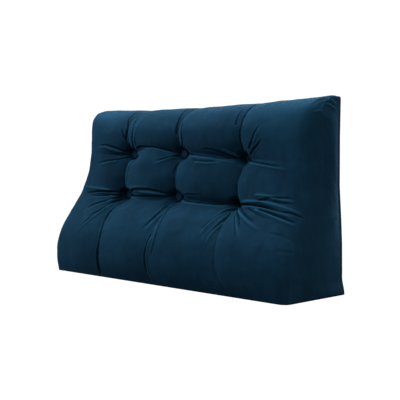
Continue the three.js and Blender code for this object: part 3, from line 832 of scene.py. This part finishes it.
tuft_points = [(seat_x * MM, (seat_y - SEAT_GAP) * MM, seat_z * MM) for seat_x, seat_y, seat_z in seats]
tuft_mesh = bpy.data.meshes.new("tuft_points")
tuft_mesh.from_pydata(tuft_points, [], [])
buttons = bpy.data.objects.new("covered_buttons", tuft_mesh)
bpy.context.scene.collection.objects.link(buttons)
# The buttons' velvet is a paler copy of the cover's: painted highlight for light caught on the button faces
button_velvet_painted_paler = cotton_velvet("teal_button_velvet_painted_highlight", deep="#10273a", bright="#152e40")

tree = bpy.data.node_groups.new("button_on_each_tuft", "GeometryNodeTree")
tree.is_modifier = True
socket_ids = {}
for name, kind in (
    ("Tufts", "NodeSocketGeometry"),
    ("Covered button", "NodeSocketObject"),
    ("Size", "NodeSocketFloat"),
    ("Most turn", "NodeSocketFloat"),
    ("Seed", "NodeSocketInt"),
    ("Velvet", "NodeSocketMaterial"),
):
    socket_ids[name] = tree.interface.new_socket(name, in_out="INPUT", socket_type=kind).identifier
tree.interface.new_socket("Buttons", in_out="OUTPUT", socket_type="NodeSocketGeometry")
given = node(tree, "NodeGroupInput").outputs
form = node(tree, "GeometryNodeObjectInfo", Object=given["Covered button"])
least = node(tree, "ShaderNodeMath", dict(operation="MULTIPLY"))
tree.links.new(given["Most turn"], least.inputs[0])
least.inputs[1].default_value = -1
turn = node(tree, "FunctionNodeRandomValue", dict(data_type="FLOAT"), Seed=given["Seed"])
float_range = [s for s in turn.inputs if s.name in ("Min", "Max") and s.type == "VALUE" and s.enabled]
tree.links.new(least.outputs["Value"], float_range[0])
tree.links.new(given["Most turn"], float_range[1])
spin = node(tree, "ShaderNodeCombineXYZ", Y=[s for s in turn.outputs if s.enabled][0])
placed = node(
    tree,
    "GeometryNodeInstanceOnPoints",
    Points=given["Tufts"],
    Instance=form.outputs["Geometry"],
    Rotation=spin.outputs["Vector"],
    Scale=given["Size"],
)
solid = node(tree, "GeometryNodeRealizeInstances", Geometry=placed.outputs["Instances"])
dressed = node(
    tree, "GeometryNodeSetMaterial", Geometry=solid.outputs["Geometry"], Material=given["Velvet"]
)
result = node(tree, "NodeGroupOutput")
tree.links.new(dressed.outputs["Geometry"], result.inputs["Buttons"])

modifier = buttons.modifiers.new("button_on_each_tuft", "NODES")
modifier.node_group = tree
modifier[socket_ids["Covered button"]] = button_form
modifier[socket_ids["Size"]] = 1.0
modifier[socket_ids["Most turn"]] = 0.6
modifier[socket_ids["Seed"]] = 7
modifier[socket_ids["Velvet"]] = button_velvet_painted_paler
evaluated = buttons.evaluated_get(bpy.context.evaluated_depsgraph_get())
buttons_mesh = bpy.data.meshes.new_from_object(evaluated)
buttons.modifiers.clear()
buttons.data = buttons_mesh
buttons_mesh.name = "covered_buttons"
buttons_mesh.shade_smooth()
bpy.data.objects.remove(button_form)
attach(buttons, "root")
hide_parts(*BUTTON_NODES)

# The studio, in metres: a pale floor and surround that show an even white, and six soft lights on the
# cushion

FLOOR_SIZE = 30
FLOOR_GAP = 0.0005
floor_mesh = bpy.data.meshes.new("studio_floor")
far = FLOOR_SIZE / 2
floor_mesh.from_pydata([(-far, -far, 0), (far, -far, 0), (far, far, 0), (-far, far, 0)], [], [(0, 1, 2, 3)])
floor = bpy.data.objects.new("studio_floor", floor_mesh)
floor.location.z = -FLOOR_GAP
bpy.context.scene.collection.objects.link(floor)
painted = bpy.data.materials.new("matt_white_paint")
painted.use_nodes = True
paint = painted.node_tree.nodes["Principled BSDF"]
paint.inputs["Base Color"].default_value = linear("#e6e6e6")
paint.inputs["Roughness"].default_value = 0.9
floor_mesh.materials.append(painted)

# Floor and surround show an even white to the camera, and light the cushion with less than that.
SHOWN_WHITE = 1.06


def show_white(tree, output, lighting):
    """Shows white where the camera looks straight at it, and leaves its own light as it is."""
    white = node(tree, "ShaderNodeEmission", Color=(1, 1, 1, 1), Strength=SHOWN_WHITE)
    by_camera = node(tree, "ShaderNodeLightPath").outputs["Is Camera Ray"]
    both = node(tree, "ShaderNodeMixShader", Fac=by_camera)
    tree.links.new(lighting, both.inputs[1])
    tree.links.new(white.outputs["Emission"], both.inputs[2])
    tree.links.new(both.outputs["Shader"], tree.nodes[output].inputs["Surface"])


show_white(painted.node_tree, "Material Output", paint.outputs["BSDF"])

cushion_only = bpy.data.collections.new("cushion_only")
cushion_only.objects.link(cover)
cushion_only.objects.link(buttons)

# The size, distance and aim of the lights, and the tint of the cool ones
SOFTBOX_SIZE = 1.3
LIGHT_DISTANCE = 3.2
LIGHT_AIM = (0, 0, 0.25)
COOL = (0.82, 1.0, 1.12)


def softbox(name, to_right, above, watts, colour=(1, 1, 1)):
    """A soft square light aimed at the cushion, at angles in degrees to the right of its front and above
    level. It lights the cushion alone, so the floor stays even."""
    lamp = bpy.data.lights.new(name, "AREA")
    lamp.shape = "SQUARE"
    lamp.size = SOFTBOX_SIZE
    lamp.energy = watts
    lamp.color = colour
    around, rise = math.radians(to_right), math.radians(above)
    level = math.cos(rise)
    towards = Vector((math.sin(around) * level, -math.cos(around) * level, math.sin(rise)))
    holder = bpy.data.objects.new(name, lamp)
    holder.location = Vector(LIGHT_AIM) + towards * LIGHT_DISTANCE
    holder.rotation_euler = towards.to_track_quat("Z", "Y").to_euler()
    holder.light_linking.receiver_collection = cushion_only
    bpy.context.scene.collection.objects.link(holder)


softbox("front_softbox", to_right=-30, above=55, watts=56, colour=COOL)
softbox("front_right_softbox", to_right=35, above=55, watts=52, colour=COOL)
softbox("left_softbox", to_right=-60, above=15, watts=50, colour=COOL)
softbox("right_softbox", to_right=90, above=45, watts=30)
softbox("back_softbox", to_right=180, above=35, watts=165)
softbox("back_overhead_softbox", to_right=180, above=75, watts=150)

surround = bpy.data.worlds.new("pale_surround")
surround.use_nodes = True
lighting = surround.node_tree.nodes["Background"]
lighting.inputs["Color"].default_value = (1, 1, 1, 1)
lighting.inputs["Strength"].default_value = 0.54
show_white(surround.node_tree, "World Output", lighting.outputs["Background"])
bpy.context.scene.world = surround
bpy.context.scene.view_settings.view_transform = "Standard"

# The camera stands in front and to the right, just above the middle of the cushion, and looks slightly
# down. Its angles are in degrees and its lens in millimetres.
CAMERA_AT = (1.6211, -1.5956, 0.3380)
CAMERA_TILT, CAMERA_TURN = 87.25, 44.381
SENSOR_WIDTH, LENS = 36, 72.61
camera_data = bpy.data.cameras.new("camera")
camera_data.sensor_width = SENSOR_WIDTH
camera_data.lens = LENS
camera = bpy.data.objects.new("camera", camera_data)
camera.location = CAMERA_AT
camera.rotation_euler = (math.radians(CAMERA_TILT), 0, math.radians(CAMERA_TURN))
bpy.context.scene.collection.objects.link(camera)
bpy.context.scene.camera = camera
